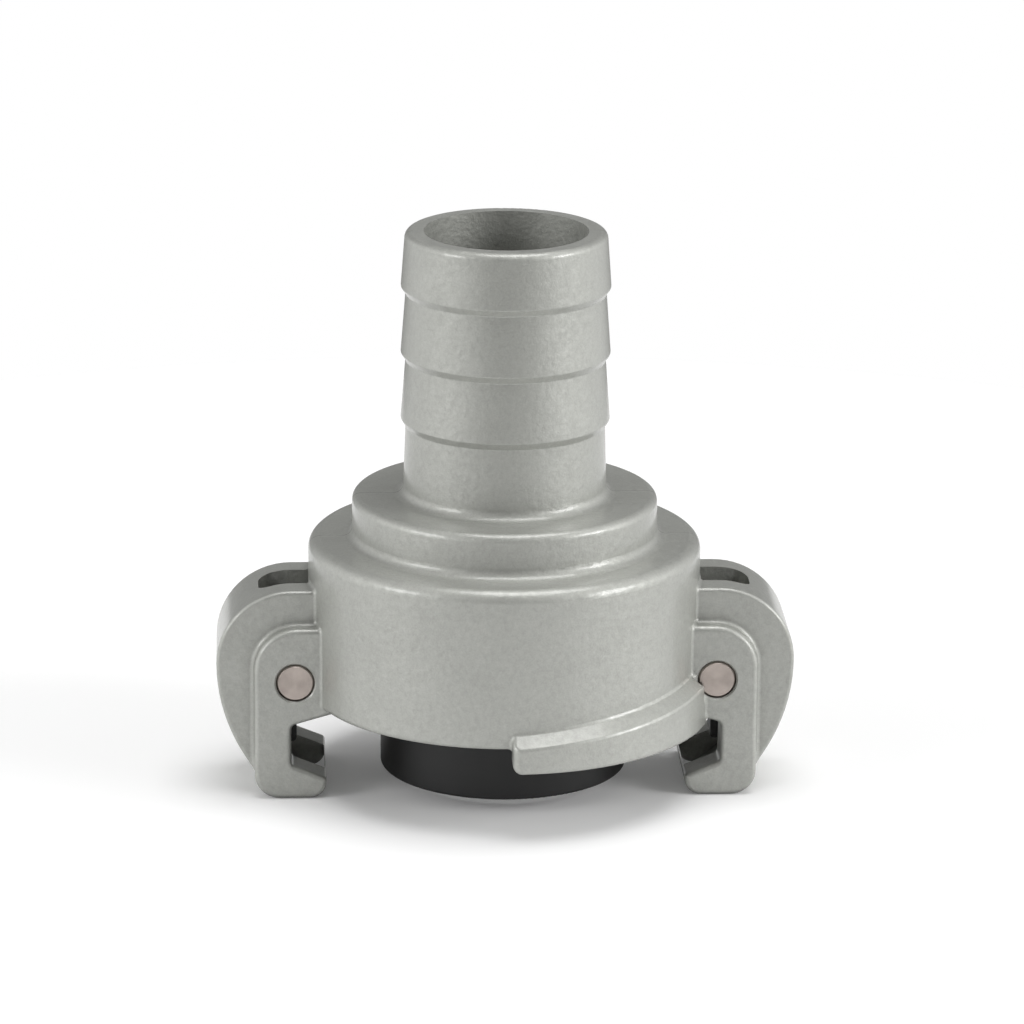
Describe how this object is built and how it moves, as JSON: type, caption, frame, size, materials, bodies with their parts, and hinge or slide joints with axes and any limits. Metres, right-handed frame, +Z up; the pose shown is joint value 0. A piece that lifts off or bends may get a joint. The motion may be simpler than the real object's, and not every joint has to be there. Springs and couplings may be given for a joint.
{
  "type": "quarter turn fire hose coupling",
  "caption": "Cast quarter-turn fire hose coupling with a barbed hose tail, a rubber seal, hooked claws with sprung latch pawls and rising ramps.",
  "frame": {"origin": "on the waterway's axis, at the plane of the claws' feet", "axes": "+Z up the hose tail, +X through the right claw, -Y towards the front"},
  "size_m": [0.1068, 0.0778, 0.1049],
  "materials": {
    "cast_alloy": "fine bead-blasted casting, pale warm grey",
    "seal_rubber": "moulded matt black rubber",
    "pin_steel": "turned stainless steel",
    "pawl_steel": "black phosphated steel",
    "spring_steel": "drawn spring wire"
  },
  "bodies": {
    "coupling": {"coupling_body": "cast_alloy", "seal_ring": "seal_rubber", "right_pivot_pin": "pin_steel", "left_pivot_pin": "pin_steel", "right_torsion_spring": "spring_steel", "left_torsion_spring": "spring_steel"},
    "right_latch": {"right_latch_pawl": "pawl_steel"},
    "left_latch": {"left_latch_pawl": "pawl_steel"}
  },
  "joints": [
    {"name": "right_latch_swing", "type": "hinge", "parent": "coupling", "child": "right_latch", "pos_m": [0.0389, 0, 0.0225], "axis": [0, -1, 0], "range_deg": [0, 10], "stiffness_Nm_per_rad": 0.07, "springref_deg": -28.65, "deforming": ["right_torsion_spring"]},
    {"name": "left_latch_swing", "type": "hinge", "parent": "coupling", "child": "left_latch", "pos_m": [-0.0389, 0, 0.0225], "axis": [0, 1, 0], "range_deg": [0, 10], "stiffness_Nm_per_rad": 0.07, "springref_deg": -28.65, "deforming": ["left_torsion_spring"]}
  ]
}
